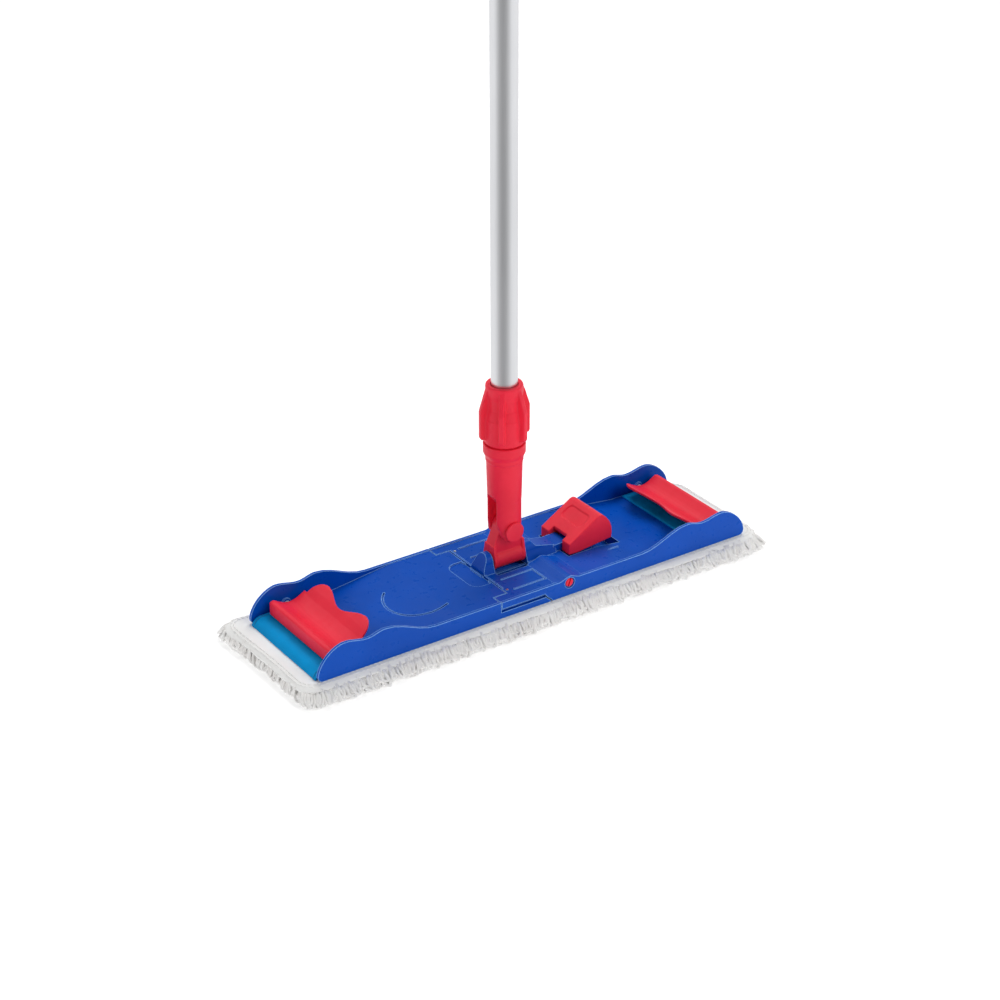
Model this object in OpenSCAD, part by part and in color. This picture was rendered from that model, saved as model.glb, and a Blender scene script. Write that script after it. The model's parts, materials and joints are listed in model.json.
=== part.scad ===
// Flat mop with a folding two-wing frame, a tilting handle joint, a foot pedal,
// sprung end clamps and a looped pile cover.
// +X runs along the frame to its pedal side, +Y to its far side, +Z up.
// The origin is on the floor, under the middle of the cover.

/* [Frame] */
// Length of the opened frame
frame_l = 426; // [424:0.5:428]
// Width of the frame over its side walls
frame_w = 110; // [109:0.5:112]
// Thickness of the side walls
wall_t = 2.6; // [2.5:0.1:2.8]
// Height of the deck's top over the frame's underside
deck_z = 14; // [13.9:0.1:14.1]
// Height of the sunken floor's top at both ends
floor_z = 5.5; // [5.3:0.1:5.5]
// Thickness of the decks and floors
skin_t = 3; // [2.8:0.1:3]
// Where the deck starts to slope down to the sunken floor
ramp_in = 80; // [79:1:82]
// Where the slope ends
ramp_out = 150; // [148:1:151]
// Where the two wings meet
seam_x = -27; // [-28:0.5:-26.5]

/* [Fold hinge] */
// Distance of the fold axis from the middle of the frame
fold_x = 27.8; // [27:0.1:28.5]
// Height of the fold axis over the frame's underside
fold_z = 11.5; // [11.3:0.1:11.7]
// Radius of the fold pins
fold_pin_r = 3.2; // [3:0.1:3.3]
// Outer radius of the knuckles on the left wing's arms
knuckle_r = 5; // [4.8:0.1:5]

/* [Handle joint] */
// Height of the lower axis, on which the yoke tips, over the frame's underside
yoke_z = 22; // [21.8:0.1:22.4]
// Height of the upper axis, on which the socket tips
socket_z = 49.5; // [49:0.1:50]
// Radius of the yoke's barrel
barrel_r = 9; // [8.8:0.1:9.2]
// Half the length of the yoke
yoke_half = 15.5; // [15:0.1:15.6]
// Half the thickness of the yoke's tongue
tongue_half = 5.7; // [5.4:0.1:5.8]

/* [Handle] */
// Radius of the handle tube
tube_r = 11; // [10.9:0.1:11]
// Wall thickness of the handle tube
tube_wall = 1; // [0.8:0.1:1.2]
// Height of the tube's lower end over the frame's underside
tube_bottom_z = 88; // [87:0.5:90]
// Height of the tube's upper end
tube_top_z = 1330; // [1000:10:1500]
// Radius of the hole in the hanging cap
hang_r = 6; // [4:0.5:7]

/* [Cover] */
// Thickness of the pile cover under the frame
pad_t = 16; // [12:1:18]
// Length of the cover
pad_l = 456; // [452:1:460]
// Width of the cover
pad_w = 152; // [146:1:156]
// Thickness of the end tabs' cloth
tab_t = 1.6; // [1.2:0.1:1.6]

/* [Pedal] */
// Distance of the pedal's axle from the middle of the frame
pedal_x = 57; // [56.8:0.1:57.2]
// Height of the pedal's axle over the frame's underside
pedal_z = 17.5; // [17.4:0.1:17.6]
// Half the width of the pedal
pedal_half = 20.5; // [20:0.1:20.6]

/* [End clamps] */
// Distance of the clamps' axles from the middle of the frame
clamp_x = 180; // [179:0.5:181]
// Height of the clamps' axles over the frame's underside
clamp_z = 10.2; // [10.1:0.1:10.4]
// Half the width of the clamps
clamp_half = 47; // [46:0.5:47.2]

/* [Hidden] */
$fn = 64;

frame_blue = [0.02, 0.3, 0.72];
part_red = [0.88, 0.16, 0.22];
cover_white = [0.93, 0.92, 0.89];
tab_teal = [0.0, 0.5, 0.72];
steel = [0.7, 0.71, 0.73];

run_gap = 0.05;         // radial clearance of every running fit
half_l = frame_l / 2;
half_w = frame_w / 2;
inner_half = half_w - wall_t;
deck_under = deck_z - skin_t;
floor_end = half_l - 6.5;
rim = 0.8;              // height of the walls' top over the deck
end_r_low = 4.5;        // radius under the rounded wall ends

// Left wing against main wing: the main wing's edge tabs lie over the left wing's lower strips
tab_x = -40;            // far end of the main wing's edge tabs
tab_in = 43.3;          // inner edge of those tabs
joint_gap = 0.6;        // play between the two wings
strip_z = 5.6;          // top of the left wing's lower strips
arm_in = 44;
arm_out = 51.6;
arm_top = 10;

// Heights of the side wall's top along the frame, from the deck to the last crest
wall_knots = [[103, deck_z + rim], [151, 28.2], [167, 25], [188, 28.3]];

// Handle joint
axle_r = 3;
pocket_half_x = yoke_half + 0.8;
pocket_half_y = 15;
ear_in = tongue_half + 0.4;
ear_out = 14;
slot_top_z = 71;
ring_z = 119;           // underside of the socket's collar ring
ring_top_z = 127;
nose_r = 14.2;          // split clamping nose on top of the socket
nose_top_z = 154;
sleeve_top_z = 168;

// Lock collar
collar_z = 128;
collar_top_z = 179.5;
collar_r = 16.8;
fin_count = 6;
fin_r = 21.8;
fin_phase = 228.7;

// Latch
bolt_half = 6;
bolt_low = 3;
bolt_high = 7;
bolt_nose_x = seam_x + 0.4;
bolt_end_x = 86;
well_x0 = 50.5;
well_x1 = 103.5;
well_half = pedal_half + 1.3;
axle_thin_r = 1.5;

// Pedal: its slope rises from the blunt front end to the crest
pedal_front_x = pedal_x - 5;
pedal_front_z = 23.5;
crest_x = 81.4;
crest_z = 41.5;
pedal_skin = 2.9;       // thickness of the slope's skin, measured upright
notch_x = 57.5;         // bottom of the notch in the front end
notch_half = 9.6;

// Cover halves: the gap between them leaves room to fold
left_cover_end = -2;
right_cover_start = 52;

// ---------- helpers ----------

function ease(a, b, n) = [
    for (i = [1:n])
        let (t = i / n)
        [a[0] + (b[0] - a[0]) * t, a[1] + (b[1] - a[1]) * (1 - cos(180 * t)) / 2]
];

function arc(cx, cy, r, a0, a1, n) = [
    for (i = [0:n])
        let (a = a0 + (a1 - a0) * i / n)
        [cx + r * cos(a), cy + r * sin(a)]
];

function reversed(list) = [for (i = [len(list) - 1:-1:0]) list[i]];

// The walls' rounded end: a flattened quarter oval from the last crest to the frame's end
function wall_end() =
    let (crest = wall_knots[len(wall_knots) - 1], low = end_r_low, bulge = 2 / 1.7)
    [
        for (i = [0:12])
            let (a = 90 * i / 12)
            [
                crest[0] + (half_l - crest[0]) * pow(cos(a), bulge),
                low + (crest[1] - low) * pow(sin(a), bulge)
            ]
    ];

function wall_top() = concat(
    [wall_knots[0]],
    [for (i = [0:len(wall_knots) - 2]) each ease(wall_knots[i], wall_knots[i + 1], 6)]
);

// Height of the deck's top, which slopes down to the sunken floor
function deck_top(x) =
    x < ramp_in ? deck_z : max(floor_z, deck_z - (x - ramp_in) * (deck_z - floor_z) / (ramp_out - ramp_in));

// A drawing in X and Z, given thickness along Y
module along_y(y0, y1) {
    translate([0, y1, 0]) rotate([90, 0, 0]) linear_extrude(y1 - y0) children();
}

// A drawing in Y and Z, given thickness along X
module along_x(x0, x1) {
    translate([x0, 0, 0]) rotate([90, 0, 90]) linear_extrude(x1 - x0) children();
}

module rod_y(r, y0, y1, x, z) {
    translate([x, y1, z]) rotate([90, 0, 0]) cylinder(r = r, h = y1 - y0);
}

module rod_x(r, x0, x1, y, z) {
    translate([x0, y, z]) rotate([0, 90, 0]) cylinder(r = r, h = x1 - x0);
}

module block(x0, x1, y0, y1, z0, z1) {
    translate([x0, y0, z0]) cube([x1 - x0, y1 - y0, z1 - z0]);
}

module both_sides() {
    children();
    mirror([0, 1, 0]) children();
}

// Everything on the frame is drawn from the frame's underside
module on_cover() {
    translate([0, 0, pad_t]) children();
}

// A torsion or compression spring along Z, from z = 0 to z = length
module coil(r, wire_r, turns, length) {
    sides = 8;
    steps = 16 * turns;
    ring = function (k) [
        for (j = [0:sides - 1])
            let (a = 360 * k / 16, b = 360 * j / sides, z = wire_r + (length - 2 * wire_r) * k / steps)
            [(r + wire_r * cos(b)) * cos(a), (r + wire_r * cos(b)) * sin(a), z + wire_r * sin(b)]
    ];
    points = [for (k = [0:steps]) each ring(k)];
    skin = [
        for (k = [0:steps - 1], j = [0:sides - 1])
            let (n = (j + 1) % sides)
            [k * sides + j, (k + 1) * sides + j, (k + 1) * sides + n, k * sides + n]
    ];
    start_cap = [[for (j = [0:sides - 1]) j]];
    end_cap = [[for (j = [sides - 1:-1:0]) steps * sides + j]];
    polyhedron(points, concat(skin, start_cap, end_cap), convexity = 10);
}

// ---------- frame wings ----------

// Outline of a side wall from x_in to the rounded end
module wall_outline(x_in) {
    polygon(concat(
        [[x_in, 0]],
        arc(half_l - end_r_low, end_r_low, end_r_low, -90, -10, 5),
        wall_end(),
        [for (i = [len(wall_top()) - 2:-1:0]) wall_top()[i]],
        [[x_in, deck_z + rim]]
    ));
}

// Cross-section of the deck, its slope and the sunken floor
module deck_outline(x_in) {
    polygon([
        [x_in, deck_under], [x_in, deck_z], [ramp_in, deck_z], [ramp_out, floor_z],
        [floor_end - 1.5, floor_z], [floor_end, floor_z - 1.5], [floor_end, floor_z - skin_t],
        [ramp_out - 1, floor_z - skin_t], [ramp_in - 1, deck_under]
    ]);
}

// The half of a wing that both wings share, with its wall, floor and clamp bearings
module wing_end(x_deck) {
    along_y(-inner_half - 0.5, inner_half + 0.5) deck_outline(x_deck);
    both_sides() rod_y(4, clamp_half + 4, inner_half + 0.5, clamp_x, clamp_z);
    both_sides() along_y(28, 30) stiffener_outline();
}

// Ribs under the slope, which carry the floor
module stiffener_outline() {
    polygon([
        [108, 1.2], [108, deck_top(108) - skin_t + 0.5], [ramp_out, floor_z - skin_t + 0.5],
        [ramp_out + 20, floor_z - skin_t + 0.5], [ramp_out + 20, 0.6], [112, 0.6]
    ]);
}

module clamp_bore() {
    both_sides() rod_y(axle_thin_r + run_gap, clamp_half, half_w - 1, clamp_x, clamp_z);
}

// The lugs' arched cross-section round the yoke's axle
module lug_section() {
    translate([0, yoke_z]) circle(r = 7.6);
    polygon([[-11.5, deck_under], [11.5, deck_under], [7.6, yoke_z], [-7.6, yoke_z]]);
}

module left_lug() {
    intersection() {
        along_x(seam_x, -pocket_half_x) lug_section();
        along_y(-20, 20) polygon([
            [seam_x, deck_under], [seam_x, 17], [-21, 30], [-pocket_half_x, 30], [-pocket_half_x, deck_under]
        ]);
    }
}

module right_lug() {
    intersection() {
        along_x(pocket_half_x, 46) lug_section();
        along_y(-20, 20) polygon([
            [pocket_half_x, deck_under], [pocket_half_x, 30], [23, 30], [27, 25], [46, 20.5], [46, deck_under]
        ]);
    }
    along_y(-notch_half + 0.6, notch_half - 0.6) {
        translate([pedal_x, pedal_z]) circle(r = 3.6);
        polygon([
            [44, deck_under], [44, 20.5], [47, 20.5], [pedal_x + 0.5, pedal_z + 3.5],
            [pedal_x + 3.5, pedal_z - 0.5], [62, deck_under]
        ]);
    }
}

// Low rounded ridge that covers the fold knuckles
module fold_ridge() {
    top = fold_z + 6.5;
    both_sides() along_y(13, half_w) {
        translate([fold_x, fold_z]) circle(r = 6.5);
        polygon([
            [fold_x - 14, deck_under], [fold_x - 14, deck_z + 0.1], [fold_x - 9, deck_z + 1],
            [fold_x - 3, top - 0.7], [fold_x + 3, top - 0.7], [fold_x + 9, deck_z + 1],
            [fold_x + 14, deck_z + 0.1], [fold_x + 14, deck_under]
        ]);
    }
}

// Channel under the deck that guides the latch bolt
module bolt_channel() {
    both_sides() along_x(seam_x + 3, well_x0) polygon([
        [bolt_half + 0.4, deck_under + 0.5], [bolt_half + 2.4, deck_under + 0.5], [bolt_half + 2.4, 1.2],
        [3, 1.2], [3, bolt_low - 0.3], [bolt_half + 0.4, bolt_low - 0.3]
    ]);
}

// Box round the pedal's opening, under the deck
module pedal_well() {
    difference() {
        along_y(-well_half - 2, well_half + 2) polygon([
            [well_x0 - 2, 0.8], [well_x0 - 2, deck_under + 0.5], [ramp_in, deck_under + 0.5],
            [well_x1 + 2, deck_top(well_x1 + 2) - 1], [well_x1 + 2, 0.8]
        ]);
        well_opening();
        block(well_x0 - 3, well_x0 + 1, -bolt_half - 0.4, bolt_half + 0.4, bolt_low - 0.3, bolt_high + 0.4);
    }
}

module well_opening() {
    block(well_x0, well_x1, -well_half, well_half, 2.2, 30);
}

// Thin raised lines on the deck
module deck_lines() {
    line_z = deck_z + 0.7;
    block(seam_x, seam_x + 1.6, -35, 42, deck_under, line_z);
    for (s = [-1, 1]) {
        block(-19, 11, s * 41.2 - 0.7, s * 41.2 + 0.7, deck_under, line_z);
        block(-19, 13, s * 22.5 - 0.7, s * 22.5 + 0.7, deck_under, line_z);
        block(12, 13.4, s * 32 - 10.2, s * 32 + 8, deck_under, line_z);
        block(84, 96, s * 30 - 0.7, s * 30 + 0.7, deck_top(96) - 1, line_z - 1.2);
    }
}

// Side wall of the main wing, cut away over the left wing's strip
module main_wall_outline() {
    difference() {
        wall_outline(tab_x);
        polygon([[tab_x - 1, -1], [tab_x - 1, 8.6], [3, 8.6], [5, strip_z], [10, 1.2], [10, -1]]);
    }
}

module main_wing() {
    color(frame_blue) on_cover() difference() {
        union() {
            difference() {
                wing_end(seam_x);
                block(-pocket_half_x, pocket_half_x, -pocket_half_y, pocket_half_y, 9, 30);
                well_opening();
            }
            both_sides() along_y(inner_half, half_w) main_wall_outline();
            both_sides() block(tab_x, seam_x + 2, tab_in, inner_half + 0.5, deck_under, deck_z);
            left_lug();
            right_lug();
            fold_ridge();
            both_sides() block(fold_x - 6, fold_x + 6, 36.5, 39.5, 5, deck_under + 0.5);
            bolt_channel();
            pedal_well();
            deck_lines();
        }
        clamp_bore();
        both_sides() rod_y(knuckle_r + 0.5, arm_in - 1, arm_out + 0.6, fold_x, fold_z);
        both_sides() block(fold_x - 9, fold_x + 9, arm_in - 1, arm_out + 0.6, 0, deck_under);
        both_sides() rod_y(fold_pin_r + run_gap, 36, half_w + 1, fold_x, fold_z);
        both_sides() rod_y(4.9, half_w - 1.9, half_w + 1, fold_x, fold_z);
        rod_x(axle_r + run_gap, -22.5, 26, 0, yoke_z);
        rod_y(axle_thin_r + run_gap, -notch_half, notch_half, pedal_x, pedal_z);
        block(seam_x - 1, well_x0 + 1, -bolt_half - 0.4, bolt_half + 0.4, bolt_low - 0.3, bolt_high + 0.4);
        both_sides() translate([seam_x + 3, 39, deck_under - 1]) cylinder(r = 1 + run_gap, h = 10);
    }
}

// Arm of the left wing with its knuckle
module arm_outline() {
    translate([fold_x, fold_z]) circle(r = knuckle_r);
    polygon([
        [-60, 1.5], [4, 1.5], [fold_x + 0.5, fold_z - 4.9], [fold_x, arm_top],
        [tab_x - 1, arm_top], [tab_x - 1, deck_under + 0.5], [-60, deck_under + 0.5]
    ]);
}

// The strip of wall that runs on under the main wing's edge tab
module strip_outline() {
    polygon([[tab_x - 5, 0], [8.7, 0], [8.7, 1.2], [3.6, strip_z], [tab_x - 5, strip_z]]);
}

// Circle and shallow hand hold sunk in the left deck
module left_emboss() {
    circle_r = 28;
    hold_r = 9;
    translate([-88, -3, 0]) rotate([0, 0, 130]) rotate_extrude(angle = 165)
        translate([circle_r, deck_top(88 + circle_r) - 0.5]) square([1.6, 9]);
    translate([0, 0, deck_z - 1.2]) linear_extrude(3) {
        translate([-45 + hold_r, -22]) square([seam_x - 2 + 45 - hold_r, 44]);
        translate([-45, -22 + hold_r]) square([hold_r, 44 - 2 * hold_r]);
        for (s = [-1, 1]) translate([-45 + hold_r, s * (22 - hold_r)]) circle(r = hold_r);
    }
}

module left_wing() {
    edge = tab_x - joint_gap;
    deck_side = tab_in - joint_gap;
    color(frame_blue) on_cover() difference() {
        union() {
            mirror([1, 0, 0]) wing_end(-edge);
            mirror([1, 0, 0]) both_sides() along_y(inner_half, half_w) wall_outline(-edge);
            block(edge - 1, seam_x - joint_gap, -deck_side, deck_side, deck_under, deck_z);
            block(seam_x - joint_gap - 2.2, seam_x - joint_gap, -deck_side, deck_side, 4, deck_under + 0.5);
            both_sides() along_y(arm_in, arm_out) arm_outline();
            both_sides() along_y(arm_out - 3, half_w) strip_outline();
        }
        mirror([1, 0, 0]) clamp_bore();
        both_sides() rod_y(fold_pin_r + run_gap, arm_in - 1, arm_out + 1, fold_x, fold_z);
        left_emboss();
        block(seam_x - 5, seam_x, -bolt_half - 1, bolt_half + 1, bolt_low - 1, bolt_high + 1);
    }
}

// Two split snap pins with round heads sunk in the walls
module fold_pins() {
    slot = 1.2;
    color(part_red) on_cover() both_sides() difference() {
        union() {
            rod_y(fold_pin_r, 36.6, half_w - 0.6, fold_x, fold_z);
            rod_y(3.8, half_w - 1.85, half_w - 0.9, fold_x, fold_z);
        }
        translate([fold_x, 0, fold_z]) rotate([0, 20, 0])
            block(-slot / 2, slot / 2, half_w - 6, half_w + 1, -5, 5);
    }
}

// Two small steel pins that end in the deck beside the seam
module seam_pins() {
    color(steel) on_cover() both_sides()
        translate([seam_x + 3, 39, deck_under - 0.9]) cylinder(r = 1, h = 4.6);
}

// ---------- handle joint ----------

module yoke_axle() {
    color(steel) on_cover() rod_x(axle_r, -22.3, 25.5, 0, yoke_z);
}

module yoke() {
    cheek_t = 2.6;
    cheek_top = 36;
    color(part_red) on_cover() difference() {
        union() {
            rod_x(barrel_r, -yoke_half, yoke_half, 0, yoke_z);
            for (x = [-yoke_half, yoke_half - cheek_t]) along_x(x, x + cheek_t) {
                translate([0, yoke_z]) circle(r = barrel_r + 0.5);
                polygon([
                    [-barrel_r - 0.5, yoke_z], [barrel_r + 0.5, yoke_z],
                    [tongue_half + 0.8, cheek_top], [-tongue_half - 0.8, cheek_top]
                ]);
            }
            along_y(-tongue_half, tongue_half) {
                translate([0, socket_z]) circle(r = 9);
                polygon([
                    [-yoke_half, yoke_z], [yoke_half, yoke_z], [yoke_half, 34], [9, socket_z - 1],
                    [-9, socket_z - 1], [-yoke_half, 34]
                ]);
            }
        }
        rod_x(axle_r + run_gap, -20, 20, 0, yoke_z);
        rod_y(axle_r + run_gap, -20, 20, 0, socket_z);
    }
}

// Headed pin through the ears and the tongue
module joint_pin() {
    color(part_red) on_cover() {
        rod_y(axle_r, -ear_out - 0.2, ear_out + 0.2, 0, socket_z);
        rod_y(8.6, -ear_out - 1.8, -ear_out, 0, socket_z);
        rod_y(6, ear_out, ear_out + 1.6, 0, socket_z);
    }
}

// The gap between the ears, with a roof that opens outwards
module socket_slot_outline() {
    polygon([[-20, 20], [20, 20], [20, 90], [6, slot_top_z], [-6, slot_top_z], [-20, 90]]);
}

module handle_socket() {
    color(part_red) on_cover() difference() {
        union() {
            intersection() {
                translate([0, 0, 35]) cylinder(r = ear_out, h = 47);
                along_y(-20, 20) {
                    translate([0, socket_z]) circle(r = 10);
                    polygon([[-10, socket_z], [10, socket_z], [13.8, 62], [16, 90], [-16, 90], [-13.8, 62]]);
                }
            }
            translate([0, 0, 76]) cylinder(r1 = 14.2, r2 = 15.1, h = 36);
            translate([0, 0, 111.5]) cylinder(r = 15.7, h = 4);
            translate([0, 0, 115]) cylinder(r1 = 15.7, r2 = 17.6, h = ring_z - 115);
            translate([0, 0, ring_z]) cylinder(r = 17.6, h = ring_top_z - ring_z);
            cylinder_between(nose_r, ring_top_z - 1, nose_top_z);
        }
        along_y(-ear_in, ear_in) socket_slot_outline();
        rod_y(axle_r + run_gap, -20, 20, 0, socket_z);
        cylinder_between(tube_r + run_gap, tube_bottom_z, nose_top_z + 1);
        for (a = [0, 90]) rotate([0, 0, a]) block(-20, 20, -0.8, 0.8, ring_top_z + 6, nose_top_z + 1);
    }
}

module cylinder_between(r, z0, z1) {
    translate([0, 0, z0]) cylinder(r = r, h = z1 - z0);
}

// Split sleeve that the collar squeezes on to the tube
module clamping_sleeve() {
    color([0.85, 0.85, 0.83]) on_cover() difference() {
        cylinder_between(12.6, nose_top_z + 0.3, sleeve_top_z);
        cylinder_between(tube_r + run_gap, nose_top_z, sleeve_top_z + 1);
        block(0, 20, -1, 1, nose_top_z, sleeve_top_z + 1);
    }
}

module collar_section() {
    difference() {
        polygon(concat(
            [[0, collar_z], [collar_r - 0.4, collar_z], [collar_r, collar_z + 1], [collar_r, 150]],
            ease([collar_r, 150], [14.9, 159], 5),
            [[14.6, 168], [15.4, 172], [15.5, 178], [15, collar_top_z], [0, collar_top_z]]
        ));
        translate([-1, collar_z - 1]) square([nose_r + run_gap + 1, nose_top_z - collar_z + 2]);
        translate([-1, collar_z]) square([12.7 + 1, sleeve_top_z + 0.5 - collar_z]);
        translate([-1, collar_z]) square([tube_r + 0.4 + 1, 80]);
    }
}

module lock_collar() {
    color(part_red) on_cover() {
        rotate_extrude() collar_section();
        for (i = [0:fin_count - 1]) rotate([0, 0, fin_phase + i * 360 / fin_count])
            along_y(-2.2, 2.2) polygon([
                [15, collar_z + 3.5], [fin_r - 0.8, collar_z + 5], [fin_r, collar_z + 7], [fin_r, 158],
                [17.8, 171], [15.6, 176.5], [14.2, 176.5], [14.2, 161], [15, 157]
            ]);
    }
}

// ---------- handle ----------

module handle_tube() {
    color([0.78, 0.78, 0.79]) on_cover() difference() {
        cylinder_between(tube_r, tube_bottom_z + 0.2, tube_top_z);
        cylinder_between(tube_r - tube_wall, tube_bottom_z, tube_top_z + 1);
    }
}

module tube_plug() {
    color([0.25, 0.25, 0.26]) on_cover() {
        cylinder_between(tube_r - tube_wall - 0.02, tube_bottom_z + 0.2, tube_bottom_z + 30);
    }
}

// Ribbed sleeve at the top of the handle
module hand_grip() {
    grip_l = 125;
    z0 = tube_top_z - grip_l;
    color(frame_blue) on_cover() rotate_extrude() polygon(concat(
        [[tube_r + 0.02, z0], [13.2, z0]],
        [for (i = [0:14]) each [
            [14.6, z0 + 6 + i * 7.6], [14.6, z0 + 10.4 + i * 7.6],
            [14, z0 + 11.2 + i * 7.6], [14, z0 + 12.8 + i * 7.6]
        ]],
        [[14.4, tube_top_z - 1], [14.4, tube_top_z], [tube_r + 0.02, tube_top_z]]
    ));
}

// Rounded cap with a hole to hang the mop by
module hanging_cap() {
    eye_z = tube_top_z + 22;
    color(part_red) on_cover() difference() {
        union() {
            cylinder_between(tube_r - tube_wall - 0.02, tube_top_z - 30, tube_top_z + 1);
            translate([0, 0, tube_top_z]) cylinder(r1 = 14.4, r2 = 12.5, h = 7);
            along_y(-4.5, 4.5) {
                translate([0, eye_z]) circle(r = 13);
                polygon([[-12.3, tube_top_z + 2], [12.3, tube_top_z + 2], [13, eye_z], [-13, eye_z]]);
            }
        }
        rod_y(hang_r, -10, 10, 0, eye_z);
        cylinder_between(7, tube_top_z - 31, tube_top_z - 2);
    }
}

// ---------- pedal and latch ----------

// Height of the slope's surface
function slope_z(x) =
    pedal_front_z + (x - pedal_front_x) * (crest_z - pedal_front_z) / (crest_x - pedal_front_x);

module pedal_outline() {
    polygon(concat(
        [[pedal_front_x, 14], [pedal_front_x, pedal_front_z], [crest_x, crest_z]],
        arc(84, 37.2, 5, 105, 50, 4),
        [[90.5, 38.3], [94, 33.5], [96, 28], [96.6, 22], [95.8, 17.6], [60, 13.7]]
    ));
}

module pedal_hollow_outline() {
    polygon([
        [64, 12], [64, slope_z(64) - pedal_skin], [80, slope_z(80) - pedal_skin], [86, 38.2],
        [91, 32], [94, 22], [93.6, 12]
    ]);
}

// Shallow hollow for the toe, sunk in the top of the slope
module toe_recess() {
    low_x = 66.5;
    high_x = 78.5;
    depth = 0.9;
    across = 14;
    r = 4;
    intersection() {
        along_y(-across, across) polygon([
            [low_x, slope_z(low_x) - depth], [high_x, slope_z(high_x) - depth], [high_x, 44], [low_x, 44]
        ]);
        linear_extrude(60) {
            translate([low_x, -across + r]) square([high_x - low_x, 2 * (across - r)]);
            translate([low_x + r, -across]) square([high_x - low_x - 2 * r, 2 * across]);
            for (x = [low_x + r, high_x - r], y = [-across + r, across - r]) translate([x, y]) circle(r = r);
        }
    }
}

// Tongue that pushes the latch bolt's slope
module cam_tongue() {
    along_y(-2.5, 2.5) polygon([
        [69, slope_z(69) - 2.1], [69, 7.9], [73.2, 7.9], [75, 9.1], [75, slope_z(75) - 2.1]
    ]);
}

// Flat seat for the return spring, under the slope
module spring_seat() {
    along_y(5.6, 14.4) polygon([
        [69.6, 31.5], [78.4, 31.5], [78.4, slope_z(78.4) - 2.1], [69.6, slope_z(69.6) - 2.1]
    ]);
}

module pedal() {
    color(part_red) on_cover() difference() {
        union() {
            difference() {
                along_y(-pedal_half, pedal_half) pedal_outline();
                along_y(-pedal_half + 2.4, pedal_half - 2.4) pedal_hollow_outline();
                block(pedal_x - 6, notch_x, -notch_half, notch_half, 10, 40);
                along_y(-notch_half, notch_half) polygon([
                    [notch_x - 1, 10], [notch_x - 1, slope_z(notch_x - 1) - pedal_skin],
                    [66, slope_z(66) - pedal_skin], [66, 10]
                ]);
            }
            cam_tongue();
            spring_seat();
        }
        toe_recess();
        both_sides() rod_y(axle_thin_r + run_gap, notch_half - 1, 18.5, pedal_x, pedal_z);
    }
}

module pedal_axle() {
    color(steel) on_cover() rod_y(axle_thin_r, -18.3, 18.3, pedal_x, pedal_z);
}

module pedal_spring() {
    color(steel) on_cover() translate([74, 10, 2.4]) coil(3.5, 0.6, 6, 29);
}

module latch_bolt() {
    color(frame_blue) on_cover() difference() {
        union() {
            block(bolt_nose_x, bolt_end_x, -bolt_half, bolt_half, bolt_low, bolt_high);
            along_y(-bolt_half, bolt_half) polygon([[74, bolt_high - 1], [74, bolt_high], [80, 11], [86, 11], [86, 5]]);
        }
        block(64, 74, -3.5, 3.5, 0, 20);
        block(60, bolt_end_x + 1, 3.6, 10, 0, 20);
    }
}

module latch_spring() {
    color(steel) on_cover() translate([bolt_end_x + 0.1, -1, 5]) rotate([0, 90, 0])
        coil(1.8, 0.4, 7, well_x1 - bolt_end_x - 0.2);
}

// ---------- end clamps ----------

// Cross-section: push tongue, hollow middle and the lip that presses the tab
module clamp_outline() {
    top = concat(
        [[150, 28.6], [155, 26.8], [161, 23], [167, 18.4]],
        [for (i = [1:8]) let (t = i / 8) [167 + 27 * t, 18.4 - 5.2 * sin(180 * t) + 1.2 * t]]
    );
    under = [for (p = reversed(top)) [p[0], p[1] - 2.4]];
    polygon(concat(
        top,
        [[197, 19.4], [198.2, 18.2], [198.4, 7.6], [196, 7.6], [195.6, 16]],
        under
    ));
}

// Plan of the clamp: straight lip, and a tongue with two round lobes
module clamp_plan() {
    lobe_r = 14;
    lobe_y = 29;
    lobe_x = 152.8;
    valley = 7.5;
    wave = [for (i = [-16:16]) [lobe_x + valley * (1 + cos(180 * i / 16)) / 2, lobe_y * i / 16]];
    translate([165.5, -clamp_half]) square([40, 2 * clamp_half]);
    polygon(concat(wave, [[170, lobe_y], [170, -lobe_y]]));
    for (s = [-1, 1]) translate([lobe_x + lobe_r, s * lobe_y]) circle(r = lobe_r);
}

module clamp() {
    difference() {
        union() {
            intersection() {
                along_y(-clamp_half, clamp_half) clamp_outline();
                linear_extrude(40) clamp_plan();
            }
            for (y = [-40, -13, 13, 40]) along_y(y - 2.5, y + 2.5) {
                translate([clamp_x, clamp_z]) circle(r = 2.6);
                translate([clamp_x - 2.6, clamp_z]) square([5.2, 2]);
            }
        }
        rod_y(axle_thin_r + run_gap, -60, 60, clamp_x, clamp_z);
    }
}

module clamp_axle() {
    rod_y(axle_thin_r, -half_w + 1.2, half_w - 1.2, clamp_x, clamp_z);
}

module clamp_springs() {
    both_sides() translate([clamp_x, clamp_half + 3.8, clamp_z]) rotate([90, 0, 0]) coil(2.2, 0.35, 3, 3.5);
}

module right_clamp() {
    color(part_red) on_cover() clamp();
}

module left_clamp() {
    color(part_red) on_cover() mirror([1, 0, 0]) clamp();
}

module right_clamp_axle() {
    color(steel) on_cover() clamp_axle();
}

module left_clamp_axle() {
    color(steel) on_cover() mirror([1, 0, 0]) clamp_axle();
}

module right_clamp_springs() {
    color(steel) on_cover() clamp_springs();
}

module left_clamp_springs() {
    color(steel) on_cover() mirror([1, 0, 0]) clamp_springs();
}

// ---------- cover ----------

// Section of an end tab: it lies on the sunken floor and folds over the floor's end
module tab_outline() {
    low = floor_z + 0.1;
    r_out = 9;
    r_in = r_out - tab_t;
    bend_x = floor_end - 1.5;
    bend_z = low - r_in;
    polygon(concat(
        [[161, low], [161, low + tab_t]],
        arc(bend_x, bend_z, r_out, 90, asin(-bend_z / r_out), 8),
        arc(bend_x, bend_z, r_in, asin(-bend_z / r_in), 90, 8)
    ));
}

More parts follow.
